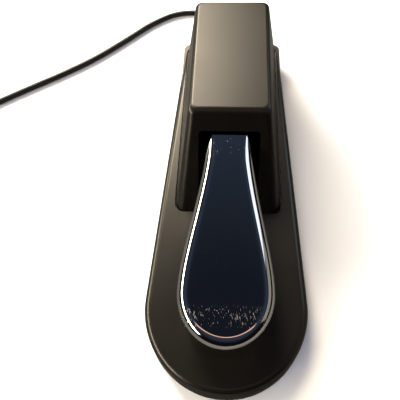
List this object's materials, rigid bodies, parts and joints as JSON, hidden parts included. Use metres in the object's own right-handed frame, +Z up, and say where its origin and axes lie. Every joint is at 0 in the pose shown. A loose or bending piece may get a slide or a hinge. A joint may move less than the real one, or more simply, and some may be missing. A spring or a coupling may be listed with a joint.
{
  "type": "sustain pedal",
  "caption": "Piano-style sustain pedal with a sprung chrome foot lever in a black case, a contact switch, and a cord ending in a jack plug.",
  "frame": {"origin": "centre of the pedal's footprint, on the surface it stands on, measured without its cord and plug", "axes": "+Z up; +Y from the round lever end to the housing, where the cord leaves; +X to the right, seen by the player facing the lever end"},
  "size_m": [0.2665, 0.2892, 0.0622],
  "materials": {
    "case_plastic": "satin moulded black ABS",
    "mat_rubber": "matte moulded rubber",
    "plate_steel": "zinc-plated steel sheet",
    "lever_chrome": "polished chrome plating",
    "arm_steel": "zinc-plated steel",
    "spring_steel": "bright spring steel",
    "bush_acetal": "natural acetal",
    "stop_felt": "pressed felt",
    "board_laminate": "solder-masked laminate",
    "switch_plastic": "moulded black",
    "plunger_plastic": "moulded red",
    "screw_steel": "zinc-plated",
    "screw_brass": "yellow-passivated",
    "cord_pvc": "soft black cable jacket",
    "plug_plastic": "moulded black",
    "plug_nickel": "nickel plating"
  },
  "bodies": {
    "case": {"rubber_mat": "mat_rubber", "bottom_plate": "plate_steel", "base_shell": "case_plastic", "housing_cover": "case_plastic", "pivot_bracket": "plate_steel", "pivot_axle": "spring_steel", "axle_clip_left": "spring_steel", "axle_clip_right": "spring_steel", "spring_seat": "bush_acetal", "return_spring": "spring_steel", "down_stop_pad": "mat_rubber", "up_stop_pad": "stop_felt", "circuit_board": "board_laminate", "switch_body": "switch_plastic", "polarity_switch": "switch_plastic", "strain_relief": "mat_rubber", "cable_clamp": "bush_acetal", "inner_cord": "cord_pvc", "lead_wire_left": "plunger_plastic", "lead_wire_right": "switch_plastic", "cord": "cord_pvc", "cord_coil": "cord_pvc", "cord_tie": "switch_plastic", "cord_tail": "cord_pvc", "plug_boot": "mat_rubber", "plug_grip": "plug_plastic", "plug_sleeve": "plug_nickel", "plug_insulator": "switch_plastic", "plug_tip": "plug_nickel", "base_screw_1": "screw_steel", "base_screw_2": "screw_steel", "base_screw_3": "screw_steel", "base_screw_4": "screw_steel", "base_screw_5": "screw_steel", "housing_screw_1": "screw_steel", "housing_screw_2": "screw_steel", "housing_screw_3": "screw_steel", "housing_screw_4": "screw_steel", "bracket_screw_1": "screw_brass", "bracket_screw_2": "screw_brass", "bracket_screw_3": "screw_brass", "bracket_screw_4": "screw_brass"},
    "lever": {"lever_cap": "lever_chrome", "lever_arm": "arm_steel", "pivot_bush_left": "bush_acetal", "pivot_bush_right": "bush_acetal", "spring_cap": "bush_acetal", "lever_screw_1": "screw_steel", "lever_screw_2": "screw_steel"},
    "plunger": {"switch_plunger": "plunger_plastic"},
    "polarity_knob": {"polarity_slider": "bush_acetal"}
  },
  "joints": [
    {"name": "lever_press", "type": "hinge", "parent": "case", "child": "lever", "pos_m": [0, 0.072, 0.027], "axis": [1, 0, 0], "range_deg": [0, 4], "stiffness_Nm_per_rad": 12, "springref_deg": -6.88, "deforming": ["return_spring"]},
    {"name": "switch_press", "type": "slide", "parent": "case", "child": "plunger", "axis": [0, 0, -1], "range_m": [0, 0.001]},
    {"name": "polarity_slide", "type": "slide", "parent": "case", "child": "polarity_knob", "axis": [1, 0, 0], "range_m": [0, 0.003]}
  ],
  "couplings": [
    {"joint": "switch_press", "follows": "lever_press", "m_per_rad": 0.014}
  ]
}
